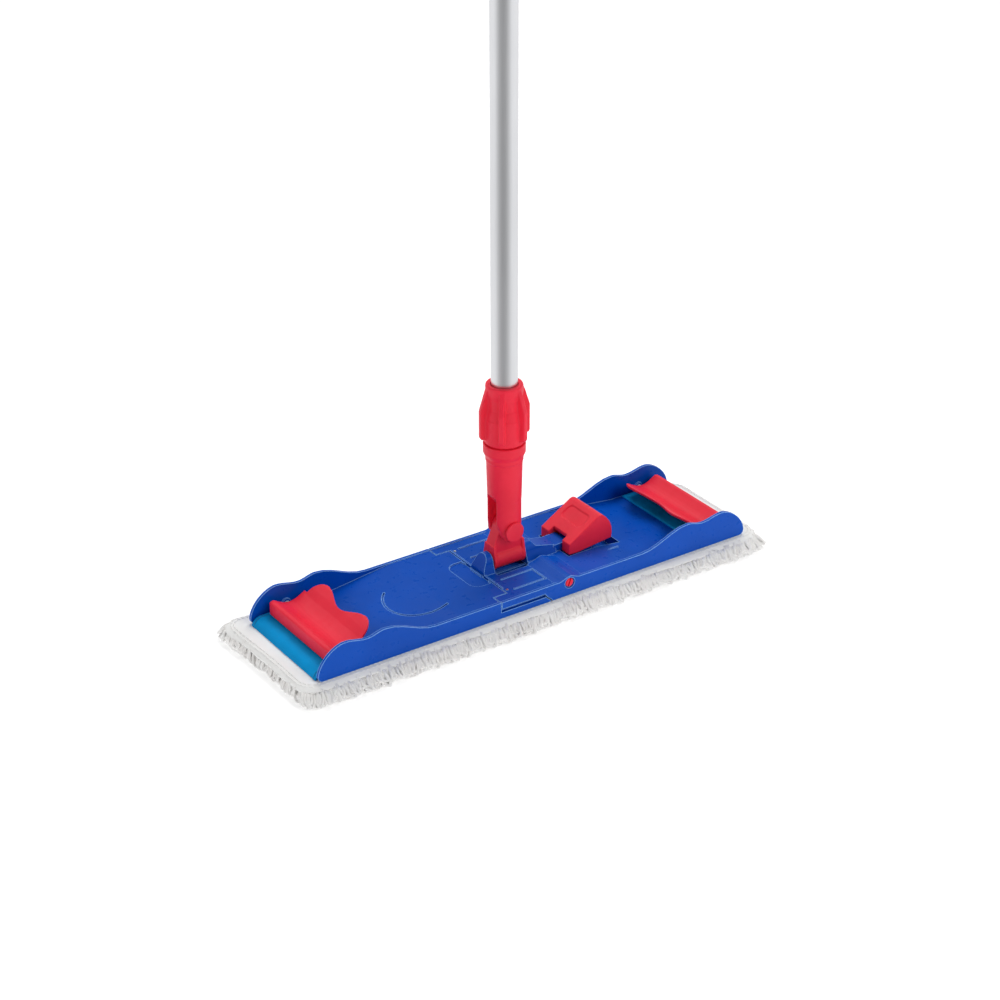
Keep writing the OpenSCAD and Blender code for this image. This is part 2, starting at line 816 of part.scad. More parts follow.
module tab_plan() {
    r = 14;
    half = 50.5;
    translate([161 + r, -half]) square([60, 2 * half]);
    translate([161, -half + r]) square([60, 2 * (half - r)]);
    for (s = [-1, 1]) translate([161 + r, s * (half - r)]) circle(r = r);
}

module tab() {
    intersection() {
        along_y(-52, 52) tab_outline();
        linear_extrude(20) tab_plan();
    }
}

module right_tab() {
    color(tab_teal) on_cover() tab();
}

module left_tab() {
    color(tab_teal) on_cover() mirror([1, 0, 0]) tab();
}

// Half of the cover, from the inner edge to the rounded outer corners
module cover_half(inner) {
    corner = 14;
    half = pad_w / 2;
    linear_extrude(pad_t) {
        translate([inner, -half]) square([pad_l / 2 - corner - inner, 2 * half]);
        translate([pad_l / 2 - corner - 1, -half + corner]) square([corner + 1, 2 * (half - corner)]);
        for (s = [-1, 1]) translate([pad_l / 2 - corner, s * (half - corner)]) circle(r = corner);
    }
}

module right_cover() {
    color(cover_white) cover_half(right_cover_start);
}

module left_cover() {
    color(cover_white) mirror([1, 0, 0]) cover_half(-left_cover_end);
}

main_wing();
left_wing();
fold_pins();
seam_pins();
yoke_axle();
yoke();
joint_pin();
handle_socket();
clamping_sleeve();
lock_collar();
handle_tube();
tube_plug();
hand_grip();
hanging_cap();
pedal();
pedal_axle();
pedal_spring();
latch_bolt();
latch_spring();
left_clamp();
right_clamp();
left_clamp_axle();
right_clamp_axle();
left_clamp_springs();
right_clamp_springs();
left_tab();
right_tab();
left_cover();
right_cover();
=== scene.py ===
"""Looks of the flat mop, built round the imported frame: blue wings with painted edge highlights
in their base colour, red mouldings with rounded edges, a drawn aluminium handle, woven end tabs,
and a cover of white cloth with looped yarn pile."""

import json
import math
import random

import bpy
import numpy as np
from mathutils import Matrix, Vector


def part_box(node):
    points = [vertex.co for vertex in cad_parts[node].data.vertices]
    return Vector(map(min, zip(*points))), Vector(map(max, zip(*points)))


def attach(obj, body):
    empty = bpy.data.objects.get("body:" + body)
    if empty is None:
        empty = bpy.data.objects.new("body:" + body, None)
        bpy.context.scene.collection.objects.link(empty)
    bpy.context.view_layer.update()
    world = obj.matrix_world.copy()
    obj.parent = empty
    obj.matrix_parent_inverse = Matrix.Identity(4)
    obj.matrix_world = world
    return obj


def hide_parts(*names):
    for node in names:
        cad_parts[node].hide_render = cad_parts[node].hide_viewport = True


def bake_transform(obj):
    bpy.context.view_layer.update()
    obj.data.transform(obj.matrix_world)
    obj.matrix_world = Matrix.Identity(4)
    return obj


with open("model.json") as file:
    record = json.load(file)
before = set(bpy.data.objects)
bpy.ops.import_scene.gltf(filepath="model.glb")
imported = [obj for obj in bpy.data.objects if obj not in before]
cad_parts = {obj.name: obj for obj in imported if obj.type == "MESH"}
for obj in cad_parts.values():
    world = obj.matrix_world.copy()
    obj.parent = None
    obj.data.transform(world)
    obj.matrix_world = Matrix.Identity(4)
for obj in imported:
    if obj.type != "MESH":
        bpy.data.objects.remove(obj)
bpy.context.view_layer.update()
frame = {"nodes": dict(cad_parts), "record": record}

MM = 0.001
NODES = frame["nodes"]
SLOT_OF = {row["node"]: row["material_slot"] for row in frame["record"]["subparts"]}
BODY_OF = {
    node: body
    for body, nodes in frame["record"]["behaviour"]["bodies"].items()
    for node in nodes
}


# ---------- camera, floor and light ----------

def make_camera():
    """The camera stands in front of the mop's left end, a metre up, and looks down at its head."""
    data = bpy.data.cameras.new("camera")
    data.lens = 85.1
    data.sensor_width = 36
    camera = bpy.data.objects.new("camera", data)
    bpy.context.scene.collection.objects.link(camera)
    camera.location = (-0.973, -1.419, 1.002)
    look_down, turn_right, roll = math.radians(27.95), math.radians(34.37), math.radians(0.1)
    camera.rotation_euler = (math.pi / 2 - look_down, roll, -turn_right)
    bpy.context.scene.camera = camera


def area_light(name, location, target, size, watts, colour=(1, 1, 1)):
    data = bpy.data.lights.new(name, "AREA")
    data.shape = "RECTANGLE"
    data.size, data.size_y = size
    data.energy = watts
    data.color = colour
    light = bpy.data.objects.new(name, data)
    bpy.context.scene.collection.objects.link(light)
    light.location = location
    light.rotation_euler = (Vector(target) - Vector(location)).to_track_quat("-Z", "Y").to_euler()


def make_world():
    """A soft grey sky over a bright surround, which is darker on the camera's side."""
    camera_side = (-0.66, -0.75, 0)
    bright, dim, sky = 1.05, 0.36, 0.2
    world = bpy.data.worlds.new("studio")
    world.use_nodes = True
    nodes, links = world.node_tree.nodes, world.node_tree.links
    direction = nodes.new("ShaderNodeTexCoord").outputs["Generated"]
    parts = nodes.new("ShaderNodeSeparateXYZ")
    links.new(direction, parts.inputs[0])

    toward_camera = nodes.new("ShaderNodeVectorMath")
    toward_camera.operation = "DOT_PRODUCT"
    toward_camera.inputs[1].default_value = camera_side
    links.new(direction, toward_camera.inputs[0])
    surround = nodes.new("ShaderNodeMapRange")
    surround.inputs["From Min"].default_value = 0.35
    surround.inputs["From Max"].default_value = 0.92
    surround.inputs["To Min"].default_value = bright
    surround.inputs["To Max"].default_value = dim
    links.new(toward_camera.outputs["Value"], surround.inputs["Value"])

    height = nodes.new("ShaderNodeMapRange")
    height.inputs["From Min"].default_value = 0.0
    height.inputs["From Max"].default_value = 0.3
    links.new(parts.outputs["Z"], height.inputs["Value"])
    level = nodes.new("ShaderNodeMix")
    level.inputs["B"].default_value = sky
    links.new(height.outputs["Result"], level.inputs["Factor"])
    links.new(surround.outputs["Result"], level.inputs["A"])
    background = nodes["Background"]
    background.inputs["Color"].default_value = (0.97, 0.98, 1, 1)
    links.new(level.outputs["Result"], background.inputs["Strength"])
    bpy.context.scene.world = world
    bpy.context.scene.view_settings.view_transform = "Standard"


def make_studio():
    """The world, four area lights and a wide white floor."""
    make_world()
    middle = (0, 0, 0.1)
    area_light("key", (0.9, 0.9, 2.3), middle, (1.5, 1.5), 34, (1, 0.99, 0.97))
    area_light("back_softbox", (-0.5, 2.1, 1.9), middle, (1.8, 1.0), 10)
    area_light("left_fill", (-2.3, -0.1, 1.5), middle, (1.0, 1.6), 12)
    area_light("front_fill", (0.7, -2.3, 1.7), middle, (1.4, 1.4), 24)

    reach, tiles, ground = 14, 14, 0
    sheet = grid_sheet(-reach, reach, -reach, reach, tiles, tiles, ground)
    floor = new_mesh_object("studio_floor", *sheet)
    floor.data.materials.append(floor_paint())
    floor.visible_glossy = False


# ---------- mesh helpers ----------

def new_mesh_object(name, points, faces):
    mesh = bpy.data.meshes.new(name)
    mesh.from_pydata([tuple(p) for p in points], [], faces)
    mesh.validate()
    mesh.polygons.foreach_set("use_smooth", [True] * len(mesh.polygons))
    made = bpy.data.objects.new(name, mesh)
    bpy.context.scene.collection.objects.link(made)
    return made


def grid_sheet(x0, x1, y0, y1, nx, ny, z):
    """Points and faces of a level sheet at height z, with nx by ny square faces."""
    points = [
        (x0 + (x1 - x0) * i / nx, y0 + (y1 - y0) * j / ny, z)
        for i in range(nx + 1)
        for j in range(ny + 1)
    ]
    row = ny + 1
    faces = [
        (i * row + j, (i + 1) * row + j, (i + 1) * row + j + 1, i * row + j + 1)
        for i in range(nx)
        for j in range(ny)
    ]
    return points, faces


def shell_between(top, bottom):
    """A closed cloth shell from two grids of points, both shaped (columns, rows, 3)."""
    columns, rows, _ = top.shape
    count = columns * rows

    def at(i, j):
        return i * rows + j

    faces = []
    for i in range(columns - 1):
        for j in range(rows - 1):
            face = (at(i, j), at(i + 1, j), at(i + 1, j + 1), at(i, j + 1))
            faces.append(face)
            faces.append(tuple(count + k for k in (face[0], face[3], face[2], face[1])))
    rim = [at(i, 0) for i in range(columns)]
    rim += [at(columns - 1, j) for j in range(1, rows)]
    rim += [at(i, rows - 1) for i in range(columns - 2, -1, -1)]
    rim += [at(0, j) for j in range(rows - 2, 0, -1)]
    for a, b in zip(rim, rim[1:] + rim[:1]):
        faces.append((b, a, count + a, count + b))
    return np.concatenate([top.reshape(-1, 3), bottom.reshape(-1, 3)]), faces


def tube_along(path, radius, sides, lobes=0.0, twist=0.0):
    """Points and faces of a closed tube round a path. lobes and twist make it a two-ply yarn."""
    path = np.asarray(path, float)
    tangent = np.gradient(path, axis=0)
    tangent /= np.linalg.norm(tangent, axis=1)[:, None]
    chord = path[-1] - path[0]
    bow = path[len(path) // 2] - (path[0] + path[-1]) / 2
    plane = np.cross(chord, bow)
    plane /= max(np.linalg.norm(plane), 1e-12)
    side = np.cross(tangent, plane)
    side /= np.linalg.norm(side, axis=1)[:, None]
    other = np.cross(tangent, side)
    steps = len(path)
    angle = 2 * math.pi * np.arange(sides) / sides
    turn = twist * np.arange(steps)[:, None]
    reach = radius * (1 + lobes * np.cos(2 * (angle[None, :] - turn)))
    points = (
        path[:, None, :]
        + (reach * np.cos(angle))[:, :, None] * side[:, None, :]
        + (reach * np.sin(angle))[:, :, None] * other[:, None, :]
    ).reshape(-1, 3)
    faces = []
    for ring in range(0, (steps - 1) * sides, sides):
        for j in range(sides):
            following = (j + 1) % sides
            faces.append((ring + j, ring + following, ring + sides + following, ring + sides + j))
    faces.append(tuple(reversed(range(sides))))
    faces.append(tuple((steps - 1) * sides + j for j in range(sides)))
    return points, faces


class Bundle:
    """Gathers many small closed meshes into one."""

    def __init__(self):
        self.points, self.faces, self.count = [], [], 0

    def add(self, points, faces):
        self.points.append(points)
        self.faces += [tuple(self.count + k for k in face) for face in faces]
        self.count += len(points)

    def make(self, name):
        return new_mesh_object(name, np.concatenate(self.points), self.faces)


# ---------- materials ----------

class Paint:
    """A Principled material, its constants on the shader, with helpers for procedural detail."""

    # The colour sockets of a Mix node, which shares its socket names between data types
    MIX_A, MIX_B, MIX_RESULT = 6, 7, 2

    def __init__(self, name, colour, roughness, **constants):
        self.material = bpy.data.materials.new(name)
        self.material.use_nodes = True
        self.nodes = self.material.node_tree.nodes
        self.links = self.material.node_tree.links
        self.shader = self.nodes["Principled BSDF"]
        self.shader.inputs["Base Color"].default_value = (*colour, 1)
        self.shader.inputs["Roughness"].default_value = roughness
        for socket, value in constants.items():
            self.shader.inputs[socket.replace("_", " ")].default_value = value
        self.coordinates = self.nodes.new("ShaderNodeTexCoord").outputs["Object"]
        self.relief = None

    def painted_edge_highlights(self, radius, colour):
        """Paints a highlight into the colour along sharp edges, where the rounded normal leaves the
        flat one.
        """
        rounded = self.nodes.new("ShaderNodeBevel")
        rounded.samples = 6
        rounded.inputs["Radius"].default_value = radius
        agreement = self.nodes.new("ShaderNodeVectorMath")
        agreement.operation = "DOT_PRODUCT"
        flat = self.nodes.new("ShaderNodeNewGeometry")
        self.links.new(rounded.outputs["Normal"], agreement.inputs[0])
        self.links.new(flat.outputs["Normal"], agreement.inputs[1])
        share = self.nodes.new("ShaderNodeMapRange")
        share.inputs["From Min"].default_value = 0.99
        share.inputs["From Max"].default_value = 0.88
        share.inputs["To Max"].default_value = 0.9
        self.links.new(agreement.outputs["Value"], share.inputs["Value"])
        # Painted highlight: the pale colour is mixed into the base colour where the edge mask is
        # high
        blend = self.nodes.new("ShaderNodeMix")
        blend.data_type = "RGBA"
        plain = self.shader.inputs["Base Color"].links[0].from_socket
        self.links.new(share.outputs["Result"], blend.inputs["Factor"])
        self.links.new(plain, blend.inputs[self.MIX_A])
        blend.inputs[self.MIX_B].default_value = (*colour, 1)
        self.links.new(blend.outputs[self.MIX_RESULT], self.shader.inputs["Base Color"])

    def stretched(self, stretch):
        mapping = self.nodes.new("ShaderNodeMapping")
        mapping.inputs["Scale"].default_value = stretch
        self.links.new(self.coordinates, mapping.inputs["Vector"])
        return mapping.outputs["Vector"]

    def noise(self, per_metre, detail=3.0, stretch=(1, 1, 1)):
        texture = self.nodes.new("ShaderNodeTexNoise")
        texture.inputs["Scale"].default_value = per_metre
        texture.inputs["Detail"].default_value = detail
        self.links.new(self.stretched(stretch), texture.inputs["Vector"])
        return texture.outputs["Fac"]

    def waves(self, per_metre, direction, distortion=0.0):
        """Bands across an axis. At scale 1 the texture has 20 / (2 pi) of them in a metre."""
        texture = self.nodes.new("ShaderNodeTexWave")
        texture.bands_direction = direction
        texture.inputs["Scale"].default_value = per_metre * 2 * math.pi / 20
        texture.inputs["Distortion"].default_value = distortion
        self.links.new(self.stretched((1, 1, 1)), texture.inputs["Vector"])
        return texture.outputs["Fac"]

    def between(self, factor, low, high):
        """Spreads the middle of a noise's range over the values from low to high."""
        spread = self.nodes.new("ShaderNodeMapRange")
        spread.inputs["From Min"].default_value = 0.3
        spread.inputs["From Max"].default_value = 0.7
        spread.inputs["To Min"].default_value = low
        spread.inputs["To Max"].default_value = high
        self.links.new(factor, spread.inputs["Value"])
        return spread.outputs["Result"]

    def product(self, a, b):
        node = self.nodes.new("ShaderNodeMath")
        node.operation = "MULTIPLY"
        self.links.new(a, node.inputs[0])
        self.links.new(b, node.inputs[1])
        return node.outputs["Value"]

    def vary_colour(self, factor, low, high):
        ramp = self.nodes.new("ShaderNodeValToRGB")
        ramp.color_ramp.elements[0].position = 0.32
        ramp.color_ramp.elements[0].color = (*low, 1)
        ramp.color_ramp.elements[1].position = 0.68
        ramp.color_ramp.elements[1].color = (*high, 1)
        self.links.new(factor, ramp.inputs["Fac"])
        self.links.new(ramp.outputs["Color"], self.shader.inputs["Base Color"])

    def vary_roughness(self, factor, low, high):
        self.links.new(self.between(factor, low, high), self.shader.inputs["Roughness"])

    def bump(self, height, strength, depth):
        node = self.nodes.new("ShaderNodeBump")
        node.inputs["Strength"].default_value = strength
        node.inputs["Distance"].default_value = depth
        self.links.new(height, node.inputs["Height"])
        if self.relief is not None:
            self.links.new(self.relief, node.inputs["Normal"])
        self.relief = node.outputs["Normal"]
        self.links.new(self.relief, self.shader.inputs["Normal"])


def floor_paint():
    paint = Paint(
        "studio_white", (0.93, 0.93, 0.93), 0.85,
        Emission_Color=(1, 1, 1, 1), Emission_Strength=0.36,
    )
    paint.vary_roughness(paint.noise(6), 0.82, 0.9)
    return paint.material


def frame_plastic():
    paint = Paint("blue_moulding", (0.0, 0.09, 0.54), 0.3, Specular_IOR_Level=0.14)
    paint.vary_colour(paint.noise(22, 5), (0.0, 0.072, 0.47), (0.0, 0.084, 0.53))
    # Painted highlight: pale blue painted into the colour along every sharp edge
    paint.painted_edge_highlights(1.1 * MM, (0.3, 0.6, 1.0))
    paint.vary_roughness(paint.noise(160, 4), 0.26, 0.34)
    paint.bump(paint.noise(260, 2), 0.08, 0.05 * MM)
    paint.bump(paint.noise(60, 2), 0.15, 0.2 * MM)
    return paint.material


def red_plastic():
    paint = Paint("red_moulding", (0.9, 0.02, 0.05), 0.4, Specular_IOR_Level=0.25)
    paint.vary_colour(paint.noise(30, 4), (0.87, 0.016, 0.045), (0.95, 0.022, 0.056))
    paint.vary_roughness(paint.noise(220, 5), 0.36, 0.5)
    paint.bump(paint.noise(420, 3), 0.12, 0.08 * MM)
    paint.bump(paint.noise(90, 2), 0.2, 0.2 * MM)
    return paint.material


def pale_plastic():
    paint = Paint("natural_nylon", (0.78, 0.77, 0.72), 0.5)
    paint.vary_colour(paint.noise(80), (0.74, 0.73, 0.67), (0.82, 0.81, 0.77))
    paint.bump(paint.noise(1500, 2), 0.2, 0.08 * MM)
    return paint.material


def dark_plastic():
    paint = Paint("black_plug", (0.05, 0.05, 0.055), 0.5)
    paint.vary_roughness(paint.noise(200), 0.4, 0.6)
    paint.bump(paint.noise(1500, 2), 0.2, 0.08 * MM)
    return paint.material


def grip_plastic():
    paint = Paint("blue_grip", (0.005, 0.085, 0.42), 0.6, Sheen_Weight=0.1)
    paint.vary_colour(paint.noise(60, 4), (0.004, 0.075, 0.37), (0.007, 0.095, 0.46))
    paint.vary_roughness(paint.noise(400, 4), 0.5, 0.68)
    paint.bump(paint.noise(3200, 3), 0.4, 0.1 * MM)
    return paint.material


def tube_aluminium():
    paint = Paint("anodised_tube", (0.77, 0.77, 0.775), 0.34, Metallic=1.0, Anisotropic=0.4)
    drawn = paint.noise(2600, 3, (1, 1, 0.012))
    paint.vary_colour(paint.noise(14, 3, (1, 1, 0.3)), (0.74, 0.74, 0.745), (0.80, 0.80, 0.805))
    paint.vary_roughness(drawn, 0.28, 0.42)
    paint.bump(drawn, 0.25, 0.03 * MM)
    return paint.material


def steel():
    paint = Paint("zinc_plated_steel", (0.62, 0.63, 0.64), 0.32, Metallic=1.0)
    paint.vary_roughness(paint.noise(900, 4), 0.24, 0.45)
    paint.bump(paint.noise(2500, 2), 0.15, 0.03 * MM)
    return paint.material


def tab_cloth():
    paint = Paint("teal_webbing", (0.0, 0.26, 0.56), 0.72, Specular_IOR_Level=0.1)
    weave = paint.product(paint.waves(1400, "Y"), paint.waves(1100, "X", 0.6))
    paint.vary_colour(paint.noise(45, 4), (0.0, 0.29, 0.66), (0.0, 0.35, 0.78))
    paint.bump(weave, 0.5, 0.12 * MM)
    paint.bump(paint.noise(90, 3), 0.4, 0.4 * MM)
    return paint.material


def tab_thread():
    paint = Paint("teal_thread", (0.01, 0.2, 0.42), 0.7)
    paint.vary_colour(paint.noise(300), (0.01, 0.17, 0.36), (0.02, 0.24, 0.5))
    paint.bump(paint.waves(2500, "DIAGONAL"), 0.4, 0.08 * MM)
    return paint.material


def cover_cloth():
    paint = Paint("white_cloth", (0.84, 0.83, 0.80), 0.85, Sheen_Weight=0.2, Sheen_Roughness=0.5)
    weave = paint.product(paint.waves(900, "Y", 0.5), paint.waves(900, "X", 0.5))
    paint.vary_colour(paint.noise(35, 5), (0.92, 0.915, 0.90), (0.96, 0.96, 0.95))
    paint.bump(weave, 0.45, 0.15 * MM)
    paint.bump(paint.noise(140, 4), 0.5, 0.6 * MM)
    return paint.material


def cover_yarn():
    paint = Paint("white_yarn", (0.84, 0.82, 0.78), 0.9, Sheen_Weight=0.35, Sheen_Roughness=0.6)
    paint.vary_colour(paint.noise(70, 5), (0.90, 0.88, 0.86), (0.96, 0.955, 0.94))
    paint.bump(paint.noise(1300, 4), 0.7, 0.35 * MM)
    paint.bump(paint.noise(260, 3), 0.5, 0.6 * MM)
    return paint.material


# ---------- mouldings and metal parts ----------

def dress(node, paint):
    """The CAD node itself, with its finish."""
    mesh = NODES[node].data
    mesh.materials.clear()
    mesh.materials.append(paint)


def mould(node, paint, voxel, passes):
    """A copy of the CAD node with every edge rounded, as a mould leaves it."""
    piece = bpy.data.objects.new(node + "_moulding", NODES[node].data.copy())
    bpy.context.scene.collection.objects.link(piece)
    piece.data.materials.clear()
    piece.data.materials.append(paint)
    skin = piece.modifiers.new("skin", "REMESH")
    skin.mode = "VOXEL"
    skin.voxel_size = voxel
    skin.use_smooth_shade = True
    rounding = piece.modifiers.new("rounding", "SMOOTH")
    rounding.factor = 0.5
    rounding.iterations = passes
    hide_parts(node)
    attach(piece, BODY_OF[node])


# ---------- cover ----------

COVER_HIGH = Vector(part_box("right_cover")[1])
CLOTH_HALF_L = COVER_HIGH.x + 2 * MM
CLOTH_HALF_W = COVER_HIGH.y - 14.5 * MM    # the CAD cover's width takes in the pile
CLOTH_TOP = COVER_HIGH.z - 0.3 * MM
CLOTH_T = 1.2 * MM
CORNER_R = 18 * MM
EDGE_REACH = 6 * MM         # width of the border that turns down
EDGE_DROP = 3.2 * MM
LOWEST_YARN = 1.2 * MM      # the yarn's middle line stays this far above the ground


def wander(value, seed):
    """A smooth random-looking wave from -1 to 1 that needs no random numbers."""
    return (
        0.5 * math.sin(37 * value + 1.7 * seed)
        + 0.3 * math.sin(83 * value + 2.9 * seed)
        + 0.2 * math.sin(191 * value + 4.1 * seed)
    )


def smooth_step(t):
    t = np.clip(t, 0, 1)
    return t * t * (3 - 2 * t)


def pull_corner(points):
    """Draws the cover's back left corner outwards, where the cloth is pulled out of square."""
    left_start, left_span = 0.14, 0.09      # the pull grows over this span, in metres
    back_start, back_span = -0.01, 0.08
    left_pull, back_pull = 3 * MM, 12 * MM
    pulled = np.array(points, float)
    to_left = smooth_step((-pulled[:, 0] - left_start) / left_span)
    to_back = smooth_step((pulled[:, 1] - back_start) / back_span)
    share = to_left * to_back
    pulled[:, 0] -= left_pull * share
    pulled[:, 1] += back_pull * share
    return pulled


def half_width_at(x):
    """Half the width of the cloth's rounded outline at x."""
    past = abs(x) - (CLOTH_HALF_L - CORNER_R)
    if past <= 0:
        return CLOTH_HALF_W
    return CLOTH_HALF_W - CORNER_R + math.sqrt(max(CORNER_R ** 2 - past ** 2, 0))


def outline_walk(inset, spacing):
    """Points round the cloth's outline, drawn in by inset, with their outward directions."""
    half_l, half_w = CLOTH_HALF_L - CORNER_R, CLOTH_HALF_W - CORNER_R
    corner = CORNER_R - inset
    bend = math.pi / 2 * corner
    legs = [2 * half_l, 2 * half_w, 2 * half_l, 2 * half_w]
    starts = [(-1, -1), (1, -1), (1, 1), (-1, 1)]
    total = sum(legs) + 4 * bend
    count = round(total / spacing)
    walk = []
    for k in range(count):
        left = total * k / count
        for leg, straight in enumerate(legs):
            if left < straight + bend:
                break
            left -= straight + bend
        heading = leg * math.pi / 2
        forward = Vector((math.cos(heading), math.sin(heading), 0))
        out = Vector((math.sin(heading), -math.cos(heading), 0))
        start = Vector((starts[leg][0] * half_l, starts[leg][1] * half_w, 0))
        centre = start + forward * min(left, straight)
        turn = max(left - straight, 0) / corner
        out = out * math.cos(turn) + forward * math.sin(turn)
        walk.append((centre + out * corner, out))
    return walk


def cloth_drop(depth_in):
    """How far the cloth hangs below its flat middle, from its distance in from the edge."""
    t = min(max(1 - depth_in / EDGE_REACH, 0), 1)
    return EDGE_DROP * t ** 2


def edge_distance(x, y):
    """Distance in from the cloth's outline."""
    past_x = abs(x) - (CLOTH_HALF_L - CORNER_R)
    past_y = abs(y) - (CLOTH_HALF_W - CORNER_R)
    if past_x > 0 and past_y > 0:
        return CORNER_R - math.hypot(past_x, past_y)
    return min(CLOTH_HALF_L - abs(x), CLOTH_HALF_W - abs(y))


def on_both_bodies(piece):
    """Bakes the piece's transform into its mesh."""
    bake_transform(piece)


def make_cloth(paint):
    """One sheet of cloth. Its border turns down, and waves a little where nothing holds it."""
    end_span = CORNER_R + 8 * MM
    end_columns, middle_columns, row_count = 14, 110, 61
    loose_band = 16 * MM
    sway_x, sway_y, sway_z = 1.6 * MM, 1.2 * MM, 0.6 * MM

    left = [
        -CLOTH_HALF_L + end_span * (1 - math.cos(math.pi / 2 * k / end_columns))
        for k in range(end_columns)
    ]
    middle = list(np.linspace(-CLOTH_HALF_L + end_span, CLOTH_HALF_L - end_span, middle_columns))
    columns = left + middle + [-x for x in reversed(left)]
    # Rows lie closer together towards the long edges
    rows = [math.copysign(1 - (1 - abs(v)) ** 1.5, v) for v in np.linspace(-1, 1, row_count)]
    top = np.zeros((len(columns), len(rows), 3))
    for i, x in enumerate(columns):
        half = half_width_at(x)
        for j, v in enumerate(rows):
            y = v * half
            depth_in = edge_distance(x, y)
            loose = max(0, 1 - depth_in / loose_band)
            out_x = math.copysign(sway_x, x) * loose * wander(y, 3) * (abs(x) / CLOTH_HALF_L) ** 8
            out_y = math.copysign(sway_y, y) * loose * wander(x, 5) * abs(v) ** 6
            z = CLOTH_TOP - cloth_drop(depth_in) + sway_z * loose * wander(x + y, 7)
            top[i, j] = (x + out_x, y + out_y, min(z, CLOTH_TOP))
    top = pull_corner(top.reshape(-1, 3)).reshape(top.shape)
    bottom = top - np.array([0, 0, CLOTH_T])
    piece = new_mesh_object("cover_cloth", *shell_between(top, bottom))
    piece.data.materials.append(paint)
    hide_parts("left_cover", "right_cover")
    on_both_bodies(piece)


def make_hem_stitches(paint):
    """Two rows of stitches round the hem, each stitch a short thread that arches over the cloth."""
    row_insets = (3.5 * MM, 6.0 * MM)
    spacing = 4.2 * MM
    half_stitch = 1.5 * MM
    arch = 0.28 * MM
    clear = 0.1 * MM
    thread_r, thread_sides = 0.33 * MM, 5

    stitches = Bundle()
    for inset in row_insets:
        for at, out in outline_walk(inset, spacing):
            along = Vector((-out.y, out.x, 0))
            z = CLOTH_TOP - cloth_drop(inset) + clear
            path = [
                at + along * (half_stitch * s) + Vector((0, 0, z + arch * (1 - s * s)))
                for s in (-1, -0.6, 0, 0.6, 1)
            ]
            points, faces = tube_along([tuple(p) for p in path], thread_r, thread_sides)
            stitches.add(pull_corner(points), faces)
    piece = stitches.make("cover_hem_stitches")
    piece.data.materials.append(paint)
    on_both_bodies(piece)


def yarn_loop(draw, at, out, root_z, reach, drop, width, steps):
    """One loop's path: it leaves the cloth, hangs out and down, and comes back beside itself."""
    along = Vector((-out.y, out.x, 0))
    lean = draw.uniform(-0.35, 0.35)
    turn = draw.uniform(-0.8, 0.8)
    across = along * math.cos(turn) + out * math.sin(turn)
    path = []
    for k in range(steps + 1):
        u = math.pi * k / steps
        swell = math.sin(u)
        p = Vector(at) + across * (width * math.cos(u) * (0.75 + 0.5 * swell))
        p += along * (lean * drop * swell) + out * (reach * swell ** 0.8)
        z = root_z - drop * swell ** 0.85
        path.append((p.x, p.y, max(z, LOWEST_YARN)))
    return path


def make_pile(paint):
    """Yarn loops: rows round the edge, which show from above, and rows across the underside."""
    draw = random.Random(11)
    pile = Bundle()

    def add_loop(path, radius, sides, lobes, twist):
        points, faces = tube_along(path, radius, sides, lobes, twist)
        pile.add(pull_corner(points), faces)

    # Inset of the roots, spacing, outward reach and drop, in millimetres, of each row round the
    # edge, outermost first
    edge_rows = [
        (0.3, 3.2, 7.0, 6.0),
        (1.2, 3.4, 9.5, 9.0),
        (3.0, 3.4, 9.5, 11.0),
        (6.0, 3.6, 8.0, 12.0),
        (11.0, 4.4, 3.0, 12.5),
    ]
    # The two outermost rows leave the ends out, except at the back left corner, where loops spill
    end_facing, end_inset, end_push = 0.75, 3, 0.3
    spill_y = 30 * MM
    loop_steps, yarn_sides, lobes, twist = 12, 6, 0.16, 0.7
    for inset, spacing, reach, drop in edge_rows:
        for at, out in outline_walk(inset * MM, spacing * MM):
            at_end = abs(out.x) > end_facing
            spilling = at.x < 0 and at.y > spill_y
            if at_end and inset < end_inset and not spilling:
                continue
            root_z = CLOTH_TOP - CLOTH_T - cloth_drop(inset * MM) - 0.3 * MM
            push = reach * MM * draw.uniform(0.7, 1.1) * (end_push if at_end else 1)
            root = at + out * draw.uniform(-1.2, 0.4) * MM
            hang = drop * MM * draw.uniform(0.8, 1.1)
            width = draw.uniform(2.4, 3.8) * MM
            path = yarn_loop(draw, root, out, root_z, push, hang, width, loop_steps)
            add_loop(path, draw.uniform(1.1, 1.5) * MM, yarn_sides, lobes, twist)

    # Rows across the underside
    step_x, step_y = 7.0 * MM, 6.5 * MM
    margin = 19 * MM
    half_l, half_w = CLOTH_HALF_L - margin, CLOTH_HALF_W - margin
    root_z = CLOTH_TOP - CLOTH_T - 0.2 * MM
    loop_steps, yarn_sides, lobes, twist = 6, 5, 0.12, 0.9
    for i in range(int(2 * half_l / step_x) + 1):
        x = -half_l + i * step_x
        for j in range(int(2 * half_w / step_y) + 1):
            y = -half_w + j * step_y
            heading = draw.uniform(0, 2 * math.pi)
            out = Vector((math.cos(heading), math.sin(heading), 0))
            push = draw.uniform(1, 3) * MM
            hang = draw.uniform(11, 13.2) * MM
            width = draw.uniform(1.6, 2.6) * MM
            path = yarn_loop(draw, Vector((x, y, 0)), out, root_z, push, hang, width, loop_steps)
            add_loop(path, draw.uniform(1.5, 1.9) * MM, yarn_sides, lobes, twist)
    piece = pile.make("cover_pile")
    piece.data.materials.append(paint)
    on_both_bodies(piece)


# ---------- end tabs ----------

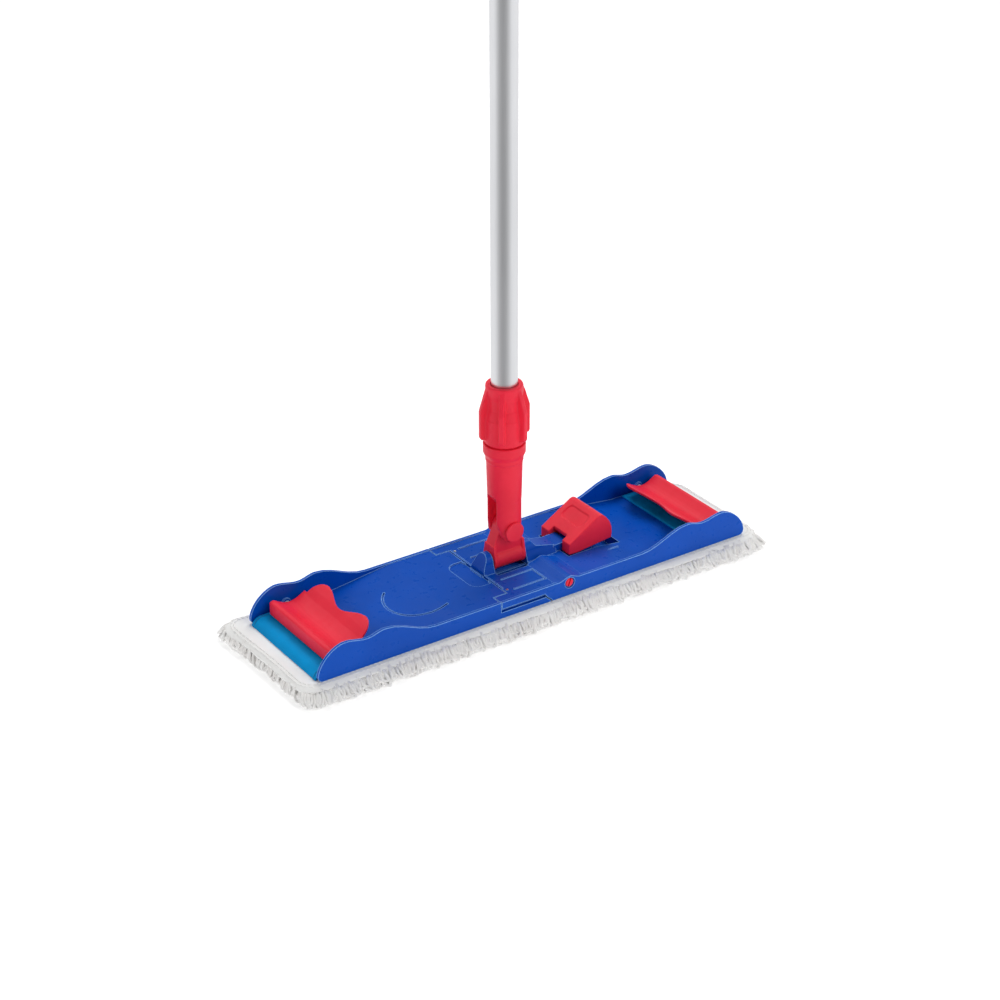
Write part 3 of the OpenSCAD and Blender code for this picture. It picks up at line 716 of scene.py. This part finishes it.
def make_tab(side, body, cloth, thread):
    """A woven tab that lies on the sunken floor and turns down round the frame's end."""
    node = side + "_tab"
    low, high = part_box(node)
    sign = 1 if side == "right" else -1
    inner_x = min(abs(low.x), abs(high.x))
    outer_x = max(abs(low.x), abs(high.x))
    depth = 1.3 * MM + 0.1 * MM
    bend_r = 9 * MM
    bend_x = outer_x - bend_r
    top_z = high.z
    bend_z = top_z - bend_r
    half = high.y
    hem = 5 * MM
    sunken = 0.3 * MM           # how far the weave lies below the hems
    ripple_size = 0.12 * MM
    flat_points, bend_points, row_count = 14, 14, 73

    # The line along the tab, with the direction that faces outwards at each point: level, then bent
    last = math.asin((low.z + 0.2 * MM - bend_z) / bend_r)
    line = [(x, top_z, 0.0, 1.0) for x in np.linspace(inner_x, bend_x, flat_points + 1)[:-1]]
    for angle in np.linspace(math.pi / 2, last, bend_points):
        nx, nz = math.cos(angle), math.sin(angle)
        line.append((bend_x + bend_r * nx, bend_z + bend_r * nz, nx, nz))
    rows = np.linspace(-half, half, row_count)
    top = np.zeros((len(line), len(rows), 3))
    bottom = np.zeros_like(top)
    for i, (x, z, nx, nz) in enumerate(line):
        for j, y in enumerate(rows):
            at_border = half - abs(y) < hem or i == 0
            ripple = ripple_size * (1 + wander(y * 1.6 + x, 2))
            sink = ripple if at_border else sunken + ripple
            top[i, j] = (sign * (x - nx * sink), y, z - nz * sink)
            bottom[i, j] = (sign * (x - nx * depth), y, z - nz * depth)
    points, faces = shell_between(top, bottom)
    if sign < 0:
        faces = [tuple(reversed(face)) for face in faces]
    piece = new_mesh_object(node + "_webbing", points, faces)
    piece.data.materials.append(cloth)
    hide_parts(node)
    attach(piece, body)

    # A row of stitches in each hem, two stitches to a step of the line
    seam_in = hem * 0.6
    half_stitch = 0.8 * MM
    arch = 0.2 * MM
    thread_r, thread_sides = 0.2 * MM, 5
    stitches = Bundle()
    for y_row in (-half + seam_in, half - seam_in):
        for k in range(4, len(line) - 2):
            a, b = line[k], line[k + 1]
            run = Vector((b[0] - a[0], 0, b[1] - a[1])).normalized()
            for share in (0.2, 0.7):
                x, z, nx, nz = (p + (q - p) * share for p, q in zip(a, b))
                path = []
                for s in (-1, -0.5, 0, 0.5, 1):
                    lift = arch * (1 - s * s)
                    p = Vector((x + nx * lift, y_row, z + nz * lift)) + run * (s * half_stitch)
                    path.append((sign * p.x, p.y, p.z))
                stitches.add(*tube_along(path, thread_r, thread_sides))
    sewn = stitches.make(node + "_stitches")
    sewn.data.materials.append(thread)
    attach(sewn, body)


# ---------- the whole mop ----------

PAINTS = {
    "frame_plastic": frame_plastic(),
    "red_plastic": red_plastic(),
    "pale_plastic": pale_plastic(),
    "dark_plastic": dark_plastic(),
    "grip_plastic": grip_plastic(),
    "tube_aluminium": tube_aluminium(),
    "steel": steel(),
}
SOFT_NODES = ["left_cover", "right_cover", "left_tab", "right_tab"]
# Voxel size in millimetres and smoothing passes of the mouldings with rounded edges
MOULDED = {
    "yoke": (0.4, 4),
    "handle_socket": (0.5, 4),
    "lock_collar": (0.5, 4),
    "pedal": (0.45, 4),
    "left_clamp": (0.5, 3),
    "right_clamp": (0.5, 3),
    "hanging_cap": (0.5, 5),
    "joint_pin": (0.35, 4),
}

make_camera()
make_studio()

for node in sorted(NODES):
    if node in MOULDED:
        voxel_mm, passes = MOULDED[node]
        mould(node, PAINTS[SLOT_OF[node]], voxel_mm * MM, passes)
    elif node not in SOFT_NODES:
        dress(node, PAINTS[SLOT_OF[node]])

yarn, cloth = cover_yarn(), cover_cloth()
make_pile(yarn)
make_cloth(cloth)
make_hem_stitches(cloth)
webbing, thread = tab_cloth(), tab_thread()
make_tab("left", "left_frame", webbing, thread)
make_tab("right", "main_frame", webbing, thread)
